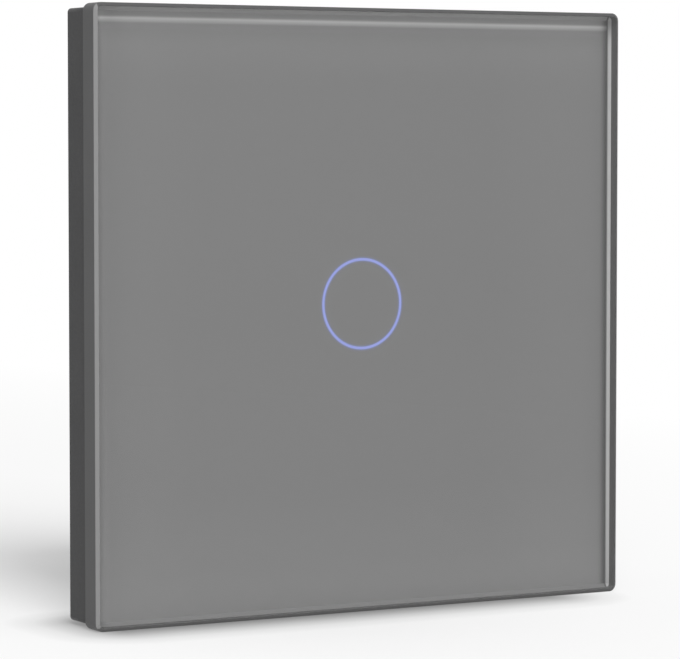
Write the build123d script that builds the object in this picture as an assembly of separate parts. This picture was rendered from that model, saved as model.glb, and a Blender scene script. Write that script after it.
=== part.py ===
from build123d import *
import os
from math import cos, radians, sin, sqrt

# A square touch light switch with a glass front, for a round wall box. Lengths are in millimetres.
# The origin lies in the wall plane at the middle of the switch. X runs right and Z up, seen from
# the room, and the glass faces -Y. What sits inside the wall box has positive Y.

# Build-up along Y, from the wall plane out to the glass
bracket_thickness = 1.2
flange_thickness = 1.2
floor_thickness = 1.6
carrier_gap = 0.1
carrier_thickness = 1.3
tape_thickness = 0.2
tray_floor = 0.4
print_thickness = 0.1
glass_thickness = 2.9

# Build-up along Y inside the wall box, from the base plate's floor inwards
led_room = 0.8
touch_board_thickness = 1.2
board_spacing = 6.8
power_board_thickness = 1.6
rear_room = 15.9

# Front panel
panel_side = 80.0
panel_corner = 1.05
tray_wall = 0.45
lip_chamfer = 0.4
bead_width = 0.5
bead_height = 0.65

# Touch ring, its diffuser and its light guide
ring_radius = 5.9
ring_width = 0.35
ring_lift = 0.9
diffuser_radius = 8.0
guide_wall = 1.9
guide_gap = 0.2
guide_flange = 1.5
guide_cover_gap = 0.2
spring_radius = 3.4
spring_wire = 0.8

# Panel carrier and its split pegs
carrier_side = 72.4
carrier_corner = 1.0
carrier_clearance = 0.3
carrier_hole_radius = 10.0
tape_margin = 1.2
tape_width = 6.0
peg_x = 33.0
peg_z = 20.0
peg_radius = 2.0
peg_clearance = 0.1
peg_sleeve_wall = 1.2
peg_split = 0.7
peg_end_gap = 0.4

# Base plate
base_step = 0.5
skirt_wall = 1.85
access_radius = 4.5
notch_width = 10.0
notch_depth = 2.0
notch_height = 1.2

# Support bracket and its screws
bracket_gap = 0.15
bracket_corner = 3.0
box_spacing = 60.0
slot_half_width = 2.2
slot_length = 8.0
frame_screw_place = 32.0
frame_screw_radius = 1.25
frame_head_radius = 2.35
frame_boss_radius = 3.4
frame_screw_clearance = 0.05
driver_slot_width = 0.6
driver_slot_depth = 0.5

# Rear housing and module cover
housing_side = 47.0
housing_cut = 8.0
housing_wall = 1.6
housing_gap = 0.3
flange_lip = 2.0
cover_seat = 0.8
cover_gap = 0.2
arm_gap = 0.1
arm_thickness = 1.0
arm_width = 6.0
arm_length = 6.0
barb_length = 1.2
barb_reach = 0.8
barb_clearance = 0.3
vent_count = 5
vent_width = 1.2
vent_length = 10.0
vent_pitch = 3.4

# Boards, their pillars and the pins between them
board_gap = 0.3
pillar_place = 15.8
pillar_radius = 1.8
post_radius = 2.0
header_x = -12.2
header_pins_count = 5
header_pitch = 2.54
header_width = 2.5
header_height = 2.5
header_pin_width = 0.64
header_pin_tail = 0.4
lead_radius = 0.35
lead_clearance = 0.1
lead_tail = 1.0

# Parts on the touch board
led_length = 2.0
led_width = 1.25
led_height = 0.7
led_pocket_gap = 0.2
touch_ic_x = 9.0
touch_ic_z = -9.0
chip_length = 2.0
chip_width = 1.25
chip_height = 0.6
chip_row_x = -9.0
chip_row_z = -10.0
chip_pitch = 3.2
chip_count = 4

# Small outline package with gull-wing leads, used for both ICs and the bridge
package_length = 4.9
package_width = 3.9
package_height = 1.5
package_standoff = 0.15
package_lead_pitch = 1.27
package_lead_width = 0.4
package_lead_reach = 1.05
package_lead_thickness = 0.2
bridge_height = 2.4
bridge_lead_pitch = 2.54

# Parts on the power board
power_ic_x = -3.0
power_ic_z = 11.0
bridge_x = 4.5
bridge_z = -7.5
film_x = -17.1
film_z = 5.5
film_length = 13.0
film_width = 5.0
film_height = 11.0
film_lead_spacing = 10.0
film_edge = 0.5
can_x = 15.6
can_z = 6.0
can_radius = 4.0
can_height = 12.0
can_groove_place = 1.6
can_groove_width = 0.7
can_groove_depth = 0.3
can_lead_spacing = 3.5
fuse_x = -4.8
fuse_length = 8.4
fuse_width = 4.0
fuse_height = 8.0
fuse_edge = 0.6
fuse_lead_spacing = 5.1
varistor_x = 5.2
varistor_radius = 3.6
varistor_thickness = 3.4
varistor_standoff = 0.6
varistor_lead_spacing = 5.0
drum_x = 17.6
drum_z = -5.4
drum_radius = 3.2
drum_stem_radius = 1.4
drum_winding_radius = 2.8
drum_flange = 1.0
drum_height = 8.0
drum_lead_spacing = 5.0

# Relay outside
relay_z = 11.7
relay_length = 19.0
relay_width = 15.4
relay_height = 15.0
relay_wall = 0.8
relay_base_thickness = 1.4
relay_edge = 0.4

# Relay inside
yoke_thickness = 1.0
yoke_width = 9.0
yoke_gap = 0.5
yoke_rise = 0.3
core_x = -2.4
core_radius = 1.8
pole_radius = 3.0
pole_thickness = 0.8
core_length = 8.4
bobbin_flange_radius = 4.4
bobbin_flange = 0.8
bobbin_wall = 0.6
winding_radius = 4.1
armature_gap = 0.05
armature_thickness = 1.0
armature_width = 8.0
armature_overhang = 1.6
contact_leaf = 0.3
contact_leaf_width = 5.0
contact_x = 6.2
contact_radius = 1.4
contact_height = 0.8
contact_gap = 0.65
contact_rivet = 0.6
fixed_strip = 0.8
fixed_strip_width = 4.0
fixed_strip_x = 7.3
return_spring_thickness = 0.25
return_spring_width = 4.0
return_spring_foot = 2.6
return_spring_clearance = 0.1
relay_coil_pin_x = -5.6
relay_coil_pin_z = 5.6

# Rising-clamp terminals, stacked along Z from the housing's bottom wall upwards
terminal_count = 3
terminal_pitch = 9.0
block_gap = 0.1
block_skin = 1.2
head_play = 0.1
head_height = 2.0
web_thickness = 1.0
cage_play = 0.4
clamp_travel = 2.0
cage_floor = 2.0
tab_play = 0.4
tab_thickness = 1.0
wire_space = 3.2
cage_roof = 1.0
block_roof = 1.0

# Terminals across X and Y
block_side_wall = 1.0
block_rear_wall = 2.0
chamber_half_width = 3.5
cage_half_width = 3.2
cage_side_wall = 0.8
cage_depth = 7.0
cage_rear_gap = 0.5
head_radius = 2.5
head_clearance = 0.3
thread_radius = 1.45
thread_clearance = 0.1
web_clearance = 0.3
tip_gap = 0.3
screw_slot_width = 0.7
screw_slot_depth = 0.9
driver_hole_radius = 2.1
housing_driver_radius = 3.1
entry_half_width = 2.7
tab_side_gap = 0.2
tab_pin_width = 0.9

# A cut runs this far past the faces that it opens
overrun = 1.0

# Places along Y that follow from the build-up
floor_rear = -(bracket_thickness + flange_thickness)
floor_front = floor_rear - floor_thickness
carrier_rear = floor_front - carrier_gap
carrier_front = carrier_rear - carrier_thickness
rim_rear = carrier_front - tape_thickness
tray_front = rim_rear - tray_floor
print_front = tray_front - print_thickness
glass_front = print_front - glass_thickness
touch_front = floor_rear + led_room
touch_rear = touch_front + touch_board_thickness
power_front = touch_rear + board_spacing
power_rear = power_front + power_board_thickness
room_rear = power_rear + rear_room
housing_rear = room_rear + housing_wall

# Sizes across the switch that follow from those above
glass_side = panel_side - 2 * tray_wall
glass_corner = panel_corner - tray_wall
print_side = glass_side - 2 * bead_width
print_corner = glass_corner - bead_width
base_side = panel_side - 2 * base_step
base_corner = panel_corner - base_step
recess_side = carrier_side + 2 * carrier_clearance
cavity_side = base_side - 2 * skirt_wall
bracket_side = cavity_side - 2 * bracket_gap
box_screw_place = box_spacing / 2
cover_inset = housing_wall - cover_seat
touch_board_inset = housing_wall + arm_gap + arm_thickness + board_gap
power_board_inset = housing_wall + board_gap
guide_radius = ring_radius + guide_wall / 2
lead_hole_radius = lead_radius + lead_clearance

# Places in the terminals that follow, upwards along Z
block_bottom = -(housing_side / 2 - housing_wall) + block_gap
head_bottom = block_bottom + block_skin + head_play
web_bottom = head_bottom + head_height
cage_bottom = web_bottom + web_thickness + cage_play + clamp_travel
cage_inside = cage_bottom + cage_floor
tab_bottom = cage_inside + tab_play
tab_top = tab_bottom + tab_thickness
wire_top = tab_top + wire_space
cage_top = wire_top + cage_roof
chamber_top = cage_top + cage_play
block_top = chamber_top + block_roof
terminal_places = [(i - (terminal_count - 1) / 2) * terminal_pitch for i in range(terminal_count)]
block_half_width = terminal_places[-1] + chamber_half_width + block_side_wall
block_rear = room_rear - block_gap
chamber_rear = block_rear - block_rear_wall
cage_rear = chamber_rear - cage_rear_gap
clamp_y = cage_rear - cage_depth / 2
wire_z = (tab_top + wire_top) / 2

# Places in the relay that follow, along X and Y
relay_half_inside = relay_length / 2 - relay_wall
relay_rear = power_rear + relay_height
relay_floor = power_rear + relay_base_thickness
yoke_left = -relay_half_inside + yoke_gap
hinge_x = yoke_left + yoke_thickness
pole_face = relay_floor + yoke_thickness + core_length + pole_thickness
hinge_y = pole_face + yoke_rise
armature_front = hinge_y + armature_gap
armature_rear = armature_front + armature_thickness
moving_contact_face = armature_rear - contact_height
fixed_contact_face = moving_contact_face - contact_gap
band_z = (block_top + relay_z - relay_width / 2) / 2


def upright(outline, front, rear):
    """A flat outline drawn in X and Z, carried through the switch from y = front to y = rear."""
    return extrude(Plane.XZ.offset(-rear) * outline, rear - front)


def rounded(side, corner):
    """A square with rounded corners."""
    return RectangleRounded(side, side, corner)


def cut_square(inset):
    """The module's outline, a square with cut corners, set in from the housing's outside."""
    half = housing_side / 2 - inset
    flat = half - (housing_cut - inset * (2 - sqrt(2)))
    corner = [(half, flat), (flat, half)]
    points = corner + [(-x, z) for x, z in reversed(corner)]
    points += [(-x, -z) for x, z in corner] + [(x, -z) for x, z in reversed(corner)]
    return Polygon(*points, align=None)


def rod(x, z, radius, front, rear):
    """A round bar along Y."""
    return upright(Pos(x, z) * Circle(radius), front, rear)


def upright_rod(x, y, radius, low, high):
    """A round bar along Z."""
    return Pos(x, y, low) * extrude(Circle(radius), high - low)


def block(x_from, x_to, y_from, y_to, z_from, z_to):
    """A box between two limits on each axis."""
    middle = Pos((x_from + x_to) / 2, (y_from + y_to) / 2, (z_from + z_to) / 2)
    return middle * Box(x_to - x_from, y_to - y_from, z_to - z_from)


def bar(x, z, width, depth, front, rear):
    """A square-cornered bar along Y, centred on x and z."""
    return block(x - width / 2, x + width / 2, front, rear, z - depth / 2, z + depth / 2)


def mirrored(x, z):
    """The four places that share a distance from both middle lines."""
    return [(sx * x, sz * z) for sx in (-1, 1) for sz in (-1, 1)]


def all_of(shapes):
    """Several solids that belong to one piece or one group."""
    shapes = list(shapes)
    whole = shapes[0]
    for shape in shapes[1:]:
        whole += shape
    return whole


# Front panel


def front_glass():
    """Clear plate whose ground rear edge leaves room for the adhesive bead."""
    bead_front = print_front - bead_height
    plate = upright(rounded(glass_side, glass_corner), glass_front, bead_front)
    wide = Plane.XZ.offset(-bead_front) * rounded(glass_side, glass_corner)
    narrow = Plane.XZ.offset(-print_front) * rounded(print_side, print_corner)
    return plate + loft([wide, narrow], ruled=True)


def ring_window(radius_out, radius_in):
    """The flat ring between two circles round the touch centre."""
    return Pos(0, ring_lift) * (Circle(radius_out) - Circle(radius_in))


def back_print():
    """Opaque coat behind the glass: a field and an inner disc, with the ring left clear."""
    window = ring_window(ring_radius + ring_width / 2, ring_radius - ring_width / 2)
    return upright(rounded(print_side, print_corner) - window, print_front, tray_front)


def glass_bead():
    """Adhesive that fills the corner between the glass, the tray's wall and its floor."""
    bead = upright(rounded(glass_side, glass_corner), print_front - bead_height, tray_front)
    return bead - front_glass() - upright(rounded(print_side, print_corner), print_front, tray_front)


def panel_tray():
    """Thin drawn tray that holds the glass; its lip is chamfered all round."""
    tray = upright(rounded(panel_side, panel_corner), glass_front, rim_rear)
    tray = chamfer(tray.faces().sort_by(Axis.Y)[0].edges(), lip_chamfer)
    tray -= upright(rounded(glass_side, glass_corner), glass_front - overrun, tray_front)
    return tray - rod(0, ring_lift, diffuser_radius, tray_front - overrun, rim_rear + overrun)


def ring_diffuser():
    """Milky disc in the tray's hole, with the fine rib that fills the clear ring."""
    window = ring_window(ring_radius + ring_width / 2, ring_radius - ring_width / 2)
    disc = rod(0, ring_lift, diffuser_radius, tray_front, rim_rear)
    return disc + upright(window, print_front, tray_front)


def carrier_tape():
    """Frame of adhesive tape between the tray and the carrier."""
    outside = carrier_side - 2 * tape_margin
    inside = outside - 2 * tape_width
    frame = Rectangle(outside, outside) - Rectangle(inside, inside)
    return upright(frame, rim_rear, carrier_front)


def panel_carrier():
    """Moulded plate with four split pegs that push into the base plate's sleeves."""
    plate = upright(rounded(carrier_side, carrier_corner), carrier_front, carrier_rear)
    plate -= rod(0, ring_lift, carrier_hole_radius, carrier_front - overrun, carrier_rear + overrun)
    peg_rear = -bracket_thickness - peg_end_gap
    for x, z in mirrored(peg_x, peg_z):
        peg = rod(x, z, peg_radius, carrier_rear, peg_rear)
        split = bar(x, z, peg_split, 2 * peg_radius + overrun, floor_front, peg_rear + overrun)
        plate += peg - split
    return plate


# Base plate and bracket


def base_plate():
    """Moulded plate behind the panel: recess for the carrier, window for the module, screw ways."""
    plate = upright(rounded(base_side, base_corner), rim_rear, 0)
    plate -= upright(rounded(recess_side, carrier_corner), rim_rear - overrun, floor_front)
    plate -= upright(rounded(cavity_side, base_corner), floor_rear, overrun)
    for x, z in mirrored(peg_x, peg_z):
        plate += rod(x, z, peg_radius + peg_clearance + peg_sleeve_wall, floor_rear, -bracket_thickness)
        plate -= rod(x, z, peg_radius + peg_clearance, floor_front - overrun, overrun)
    for x, z in mirrored(frame_screw_place, frame_screw_place):
        plate += rod(x, z, frame_boss_radius, floor_rear, -bracket_thickness)
        plate -= frame_screw_shape(x, z, frame_screw_clearance)
    plate -= upright(cut_square(cover_inset - cover_gap), floor_front - overrun, overrun)
    for x, z in box_screw_places():
        plate -= rod(x, z, access_radius, floor_front - overrun, overrun)
    notch_low = -base_side / 2
    notch = block(
        -notch_width / 2,
        notch_width / 2,
        rim_rear - overrun,
        rim_rear + notch_height,
        notch_low - overrun,
        notch_low + notch_depth,
    )
    return plate - notch


def box_screw_places():
    """Centres of the four wall-box screw slots, on the two middle lines."""
    return [(box_screw_place, 0), (-box_screw_place, 0), (0, box_screw_place), (0, -box_screw_place)]


def support_bracket():
    """Flat steel frame screwed to the wall box through its slots."""
    frame = upright(rounded(bracket_side, bracket_corner), -bracket_thickness, 0)
    frame -= upright(cut_square(-housing_gap), -bracket_thickness - overrun, overrun)
    for x, z in box_screw_places():
        turn = 0 if z == 0 else 90
        slot = Pos(x, z) * Rot(0, 0, turn) * SlotOverall(slot_length, 2 * slot_half_width)
        frame -= upright(slot, -bracket_thickness - overrun, overrun)
    for x, z in mirrored(frame_screw_place, frame_screw_place):
        frame -= rod(x, z, frame_screw_radius, -bracket_thickness - overrun, overrun)
    return frame


def frame_screw_shape(x, z, grow):
    """Countersunk screw from the base plate's floor into the bracket, grown for its hole."""
    cone_rear = floor_front + frame_head_radius - frame_screw_radius
    wide = Plane.XZ.offset(-floor_front) * (Pos(x, z) * Circle(frame_head_radius + grow))
    narrow = Plane.XZ.offset(-cone_rear) * (Pos(x, z) * Circle(frame_screw_radius + grow))
    return loft([wide, narrow]) + rod(x, z, frame_screw_radius + grow, cone_rear, -grow)


def frame_screws():
    """Four countersunk screws that hold the base plate and the module to the bracket."""
    screws = []
    for x, z in mirrored(frame_screw_place, frame_screw_place):
        slot_rear = floor_front + driver_slot_depth
        length = 2 * frame_head_radius + overrun
        slot = bar(x, z, length, driver_slot_width, floor_front - overrun, slot_rear)
        screws.append(frame_screw_shape(x, z, 0) - slot)
    return all_of(screws)


# Rear housing and module cover


def side_arm(reach_from, reach_to, front, rear, width):
    """A bar beside the housing's top wall, between two heights measured from the middle."""
    return block(-width / 2, width / 2, front, rear, reach_from, reach_to)


def four_sides(shape):
    """The same shape turned to the housing's four walls."""
    return all_of(Rot(0, turn, 0) * shape for turn in (0, 90, 180, 270))


def rear_housing():
    """Open case with cut corners; its flange is clamped between base plate and bracket."""
    case = upright(cut_square(0), floor_rear, housing_rear)
    case += upright(cut_square(-flange_lip), floor_rear, floor_rear + flange_thickness)
    case -= upright(cut_square(housing_wall), floor_rear - overrun, room_rear)
    for x, z in mirrored(pillar_place, pillar_place):
        case += rod(x, z, post_radius, power_rear, room_rear)
    inside = housing_side / 2 - housing_wall
    barb_rear = floor_rear + arm_length + barb_clearance
    barb_front = floor_rear + arm_length - barb_length - barb_clearance
    width = arm_width + 2 * barb_clearance
    case -= four_sides(side_arm(inside - overrun, inside + 2 * housing_wall, barb_front, barb_rear, width))
    for x in terminal_places:
        case -= entry_window(x, room_rear - overrun, housing_rear + overrun)
        low = -housing_side / 2 - overrun
        case -= upright_rod(x, clamp_y, housing_driver_radius, low, block_bottom)
    vent_middle = (power_rear + room_rear) / 2
    for i in range(vent_count):
        x = (i - (vent_count - 1) / 2) * vent_pitch
        case -= block(
            x - vent_width / 2,
            x + vent_width / 2,
            vent_middle - vent_length / 2,
            vent_middle + vent_length / 2,
            inside - overrun,
            housing_side / 2 + overrun,
        )
    return case


def module_cover():
    """Cover flush with the base plate's floor, held by four snap arms, open for the light guide."""
    cover = upright(cut_square(cover_inset), floor_front, floor_rear)
    cover -= rod(0, ring_lift, guide_radius + guide_cover_gap, floor_front - overrun, floor_rear + overrun)
    inside = housing_side / 2 - housing_wall
    arm_out = inside - arm_gap
    arm_end = floor_rear + arm_length
    arm = side_arm(arm_out - arm_thickness, arm_out, floor_rear, arm_end, arm_width)
    arm += side_arm(arm_out, inside + barb_reach, arm_end - barb_length, arm_end, arm_width)
    return cover + four_sides(arm)


# Touch board and what it carries


def header_places():
    """Centres of the pins that join the two boards."""
    first = -(header_pins_count - 1) / 2 * header_pitch
    return [(header_x, first + i * header_pitch) for i in range(header_pins_count)]


def led_places(first_turn):
    """Centres and turns of two opposite LEDs under the light guide."""
    turns = (first_turn, first_turn + 180)
    return [
        (ring_radius * cos(radians(t)), ring_lift + ring_radius * sin(radians(t)), t) for t in turns
    ]


def led_box(x, z, turn, grow, height):
    """A flat box on the touch board, its long side along the ring."""
    outline = Rectangle(led_width + 2 * grow, led_length + 2 * grow)
    return upright(Pos(x, z) * Rot(0, 0, turn) * outline, touch_front - height, touch_front)


def leds(first_turn):
    """Two indicator LEDs, opposite each other under the ring."""
    return all_of(led_box(x, z, turn, 0, led_height) for x, z, turn in led_places(first_turn))


def light_guide():
    """Clear tube that carries the LEDs' light to the ring, trapped behind the cover by its flange."""
    guide = rod(0, ring_lift, guide_radius, rim_rear + guide_gap, touch_front)
    guide += rod(0, ring_lift, guide_radius + guide_flange, floor_rear, touch_front)
    guide -= rod(0, ring_lift, guide_radius - guide_wall, rim_rear - overrun, touch_front + overrun)
    for x, z, turn in led_places(0) + led_places(90):
        guide -= led_box(x, z, turn, led_pocket_gap, led_height)
    return guide


def touch_spring():
    """Sensing electrode: outer shape of the close spring between the touch board and the diffuser."""
    spring = rod(0, ring_lift, spring_radius, rim_rear, touch_front)
    inner = spring_radius - spring_wire
    return spring - rod(0, ring_lift, inner, rim_rear + spring_wire, touch_front + overrun)


def touch_board():
    """Board behind the cover."""
    board = upright(cut_square(touch_board_inset), touch_front, touch_rear)
    for x, z in header_places():
        board -= rod(x, z, lead_hole_radius + lead_clearance, touch_front - overrun, touch_rear + overrun)
    return board


def package(x, z, face, side, height, pitch, per_side):
    """A moulded body on gull-wing leads; side is 1 on a board's rear face and -1 on its front."""

    def layer(shape, low, high):
        front, rear = sorted((face + side * low, face + side * high))
        return upright(Pos(x, z) * shape, front, rear)

    body = layer(Rectangle(package_length, package_width), package_standoff, height)
    half = package_width / 2
    middle = height / 2
    first = -(per_side - 1) / 2 * pitch
    for row in (-1, 1):
        for i in range(per_side):
            across = first + i * pitch
            out = half + package_lead_reach
            foot = Pos(across, row * (half + out) / 2) * Rectangle(package_lead_width, out - half)
            knee = half + package_lead_thickness
            leg = Pos(across, row * (half + knee) / 2) * Rectangle(package_lead_width, knee - half)
            body += layer(foot, 0, package_lead_thickness)
            body += layer(leg, 0, middle + package_lead_thickness / 2)
    return body


def touch_ic():
    """Touch sensing circuit on the touch board's rear face."""
    return package(touch_ic_x, touch_ic_z, touch_rear, 1, package_height, package_lead_pitch, 4)


def chip_parts():
    """Row of chip resistors and capacitors on the touch board's rear face."""
    chips = []
    for i in range(chip_count):
        x = chip_row_x + i * chip_pitch
        outline = Pos(x, chip_row_z) * Rectangle(chip_width, chip_length)
        chips.append(upright(outline, touch_rear, touch_rear + chip_height))
    return all_of(chips)


def header_pins():
    """Square pins through both boards."""
    front = touch_front - header_pin_tail
    rear = power_rear + header_pin_tail
    pins = (bar(x, z, header_pin_width, header_pin_width, front, rear) for x, z in header_places())
    return all_of(pins)


def board_header():
    """Moulded strip that spaces the pins, seated on the touch board."""
    length = header_pins_count * header_pitch
    strip = bar(header_x, 0, header_width, length, touch_rear, touch_rear + header_height)
    return strip - header_pins()


def board_spacers():
    """Four pillars between the two boards."""
    places = mirrored(pillar_place, pillar_place)
    return all_of(rod(x, z, pillar_radius, touch_rear, power_front) for x, z in places)


# Power board and what it carries


def lead_pair(x, z, spacing, along_x):
    """Two leads of a part that stands on the power board, through the board."""
    half = spacing / 2
    places = [(x - half, z), (x + half, z)] if along_x else [(x, z - half), (x, z + half)]
    return places


film_leads = lead_pair(film_x, film_z, film_lead_spacing, False)
can_leads = lead_pair(can_x, can_z, can_lead_spacing, True)
fuse_leads = lead_pair(fuse_x, band_z, fuse_lead_spacing, True)
varistor_leads = lead_pair(varistor_x, band_z, varistor_lead_spacing, True)
drum_leads = lead_pair(drum_x, drum_z, drum_lead_spacing, False)
coil_pins = [(relay_coil_pin_x, relay_z + s * relay_coil_pin_z) for s in (-1, 1)]
contact_pins = [((yoke_left + hinge_x) / 2, relay_z), (fixed_strip_x, relay_z)]
tab_pins = [(x, tab_bottom + tab_thickness / 2) for x in terminal_places]


def through_leads(places):
    """Round leads from the power board's rear face to just past its front face."""
    front = power_front - lead_tail
    return all_of(rod(x, z, lead_radius, front, power_rear) for x, z in places)


def power_board():
    """Board behind the touch board, drilled for every lead that passes it."""
    board = upright(cut_square(power_board_inset), power_front, power_rear)
    drilled = film_leads + can_leads + fuse_leads + varistor_leads + drum_leads
    drilled = drilled + coil_pins + contact_pins
    for x, z in drilled:
        board -= rod(x, z, lead_hole_radius, power_front - overrun, power_rear + overrun)
    for x, z in header_places():
        board -= rod(x, z, lead_hole_radius + lead_clearance, power_front - overrun, power_rear + overrun)
    for x, z in tab_pins:
        width = tab_pin_width + 2 * lead_clearance
        depth = tab_thickness + 2 * lead_clearance
        board -= bar(x, z, width, depth, power_front - overrun, power_rear + overrun)
    return board


def bridge_rectifier():
    """Rectifier on the power board's front face."""
    return package(bridge_x, bridge_z, power_front, -1, bridge_height, bridge_lead_pitch, 2)


def power_ic():
    """Supply circuit on the power board's front face."""
    return package(power_ic_x, power_ic_z, power_front, -1, package_height, package_lead_pitch, 4)


def film_capacitor():
    """Boxed film capacitor with softened edges."""
    body = bar(film_x, film_z, film_width, film_length, power_rear, power_rear + film_height)
    body = fillet(body.edges().filter_by(Axis.Y), film_edge)
    return body + through_leads(film_leads)


def electrolytic_capacitor():
    """Round can with a rolled groove above its base."""
    rear = power_rear + can_height
    groove_front = power_rear + can_groove_place
    can = rod(can_x, can_z, can_radius, power_rear, rear)
    groove = rod(can_x, can_z, can_radius, groove_front, groove_front + can_groove_width)
    neck = rod(can_x, can_z, can_radius - can_groove_depth, groove_front, groove_front + can_groove_width)
    return can - (groove - neck) + through_leads(can_leads)


def fuse():
    """Small boxed fuse beside the terminals."""
    body = bar(fuse_x, band_z, fuse_length, fuse_width, power_rear, power_rear + fuse_height)
    body = fillet(body.edges().filter_by(Axis.Y), fuse_edge)
    return body + through_leads(fuse_leads)


def varistor():
    """Coated disc that stands on its two leads."""
    middle = power_rear + varistor_standoff + varistor_radius
    low = band_z - varistor_thickness / 2
    disc = upright_rod(varistor_x, middle, varistor_radius, low, low + varistor_thickness)
    legs = all_of(
        rod(x, z, lead_radius, power_front - lead_tail, middle) for x, z in varistor_leads
    )
    return disc + legs


def inductor_core():
    """Ferrite drum with a flange at each end."""
    rear = power_rear + drum_height
    core = rod(drum_x, drum_z, drum_stem_radius, power_rear, rear)
    core += rod(drum_x, drum_z, drum_radius, power_rear, power_rear + drum_flange)
    core += rod(drum_x, drum_z, drum_radius, rear - drum_flange, rear)
    return core + through_leads(drum_leads)


def inductor_winding():
    """Outer shape of the winding between the drum's flanges."""
    front = power_rear + drum_flange
    rear = power_rear + drum_height - drum_flange
    winding = rod(drum_x, drum_z, drum_winding_radius, front, rear)
    return winding - rod(drum_x, drum_z, drum_stem_radius, front, rear)


# Relay


def relay_box(inset, front, rear):
    """A box on the relay's outline, set in by inset."""
    half_length = relay_length / 2 - inset
    half_width = relay_width / 2 - inset
    low = relay_z - half_width
    return block(-half_length, half_length, front, rear, low, relay_z + half_width)


def relay_case():
    """Cap over the relay, open towards the board."""
    case = relay_box(0, power_rear, relay_rear)
    case = fillet(case.edges().filter_by(Axis.Y), relay_edge)
    return case - relay_box(relay_wall, power_rear - overrun, relay_rear - relay_wall)


def relay_base():
    """Base that closes the cap and is pierced by the pins."""
    base = relay_box(relay_wall, power_rear, relay_floor)
    for x, z in coil_pins + contact_pins:
        base -= rod(x, z, lead_radius, power_rear - overrun, relay_floor + overrun)
    return base


def relay_pins():
    """Coil and common pins through the base and the board."""
    places = coil_pins + contact_pins[:1]
    front = power_front - lead_tail
    return all_of(rod(x, z, lead_radius, front, relay_floor) for x, z in places)


def relay_yoke():
    """L-shaped iron under and beside the coil; its end carries the armature."""
    low = relay_z - yoke_width / 2
    high = relay_z + yoke_width / 2
    core_right = core_x + pole_radius
    foot = block(yoke_left, core_right, relay_floor, relay_floor + yoke_thickness, low, high)
    leg = block(yoke_left, hinge_x, relay_floor, hinge_y, low, high)
    hole = rod(core_x, relay_z, core_radius, relay_floor - overrun, relay_floor + 2 * yoke_thickness)
    return foot + leg - hole


def relay_core():
    """Iron core riveted into the yoke, with a pole face at its free end."""
    core = rod(core_x, relay_z, core_radius, relay_floor, pole_face)
    return core + rod(core_x, relay_z, pole_radius, pole_face - pole_thickness, pole_face)


def relay_bobbin():
    """Flanged former round the core."""
    front = relay_floor + yoke_thickness
    rear = pole_face - pole_thickness
    former = rod(core_x, relay_z, core_radius + bobbin_wall, front, rear)
    former += rod(core_x, relay_z, bobbin_flange_radius, front, front + bobbin_flange)
    former += rod(core_x, relay_z, bobbin_flange_radius, rear - bobbin_flange, rear)
    return former - rod(core_x, relay_z, core_radius, front, rear)


def relay_winding():
    """Outer shape of the coil's winding."""
    front = relay_floor + yoke_thickness + bobbin_flange
    rear = pole_face - pole_thickness - bobbin_flange
    winding = rod(core_x, relay_z, winding_radius, front, rear)
    return winding - rod(core_x, relay_z, core_radius + bobbin_wall, front, rear)


def relay_armature():
    """Iron plate that swings on the yoke's end towards the pole face."""
    low = relay_z - armature_width / 2
    high = relay_z + armature_width / 2
    tail = yoke_left + return_spring_clearance
    tip = core_x + pole_radius + armature_overhang
    return block(tail, tip, armature_front, armature_rear, low, high)


def contact_spring():
    """Leaf on the armature with the moving contact under its free end."""
    leaf_rear = armature_rear + contact_leaf
    low = relay_z - contact_leaf_width / 2
    high = relay_z + contact_leaf_width / 2
    leaf_end = contact_x + contact_radius
    leaf = block(hinge_x, leaf_end, armature_rear, leaf_rear, low, high)
    return leaf + rod(contact_x, relay_z, contact_radius, moving_contact_face, armature_rear)


def fixed_contact():
    """Bent strip with the fixed contact, on its pin."""
    half = fixed_strip / 2
    low = relay_z - fixed_strip_width / 2
    high = relay_z + fixed_strip_width / 2
    shelf_rear = fixed_contact_face - contact_rivet
    post = block(fixed_strip_x - half, fixed_strip_x + half, relay_floor, shelf_rear, low, high)
    shelf_left = contact_x - contact_radius
    shelf = block(shelf_left, fixed_strip_x + half, shelf_rear - fixed_strip, shelf_rear, low, high)
    rivet = rod(contact_x, relay_z, contact_radius, shelf_rear, fixed_contact_face)
    pin = rod(fixed_strip_x, relay_z, lead_radius, power_front - lead_tail, relay_floor)
    return post + shelf + rivet + pin


def return_spring():
    """Thin strip on the yoke's outside that pushes the armature back."""
    low = relay_z - return_spring_width / 2
    high = relay_z + return_spring_width / 2
    left = yoke_left - return_spring_thickness
    return block(left, yoke_left, relay_floor + return_spring_foot, armature_rear, low, high)


# Terminals


def entry_window(x, front, rear):
    """Square way for a wire, centred on the space inside the cage."""
    return bar(x, wire_z, 2 * entry_half_width, 2 * entry_half_width, front, rear)


def terminal_block():
    """Moulded block with a chamber, a head pocket and a wire way for each terminal."""
    body = block(-block_half_width, block_half_width, power_rear, block_rear, block_bottom, block_top)
    chamber_bottom = web_bottom + web_thickness
    opening = power_rear - overrun
    pocket = head_radius + head_clearance
    shank = thread_radius + web_clearance
    for x in terminal_places:
        body -= block(
            x - chamber_half_width,
            x + chamber_half_width,
            opening,
            chamber_rear,
            chamber_bottom,
            chamber_top,
        )
        body -= block(x - pocket, x + pocket, opening, clamp_y, head_bottom - head_play, web_bottom)
        body -= upright_rod(x, clamp_y, pocket, head_bottom - head_play, web_bottom)
        body -= block(x - shank, x + shank, opening, clamp_y, web_bottom, chamber_bottom)
        body -= upright_rod(x, clamp_y, shank, web_bottom, chamber_bottom)
        body -= upright_rod(x, clamp_y, driver_hole_radius, block_bottom - overrun, head_bottom)
        body -= entry_window(x, chamber_rear - overrun, block_rear + overrun)
    return body


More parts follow.
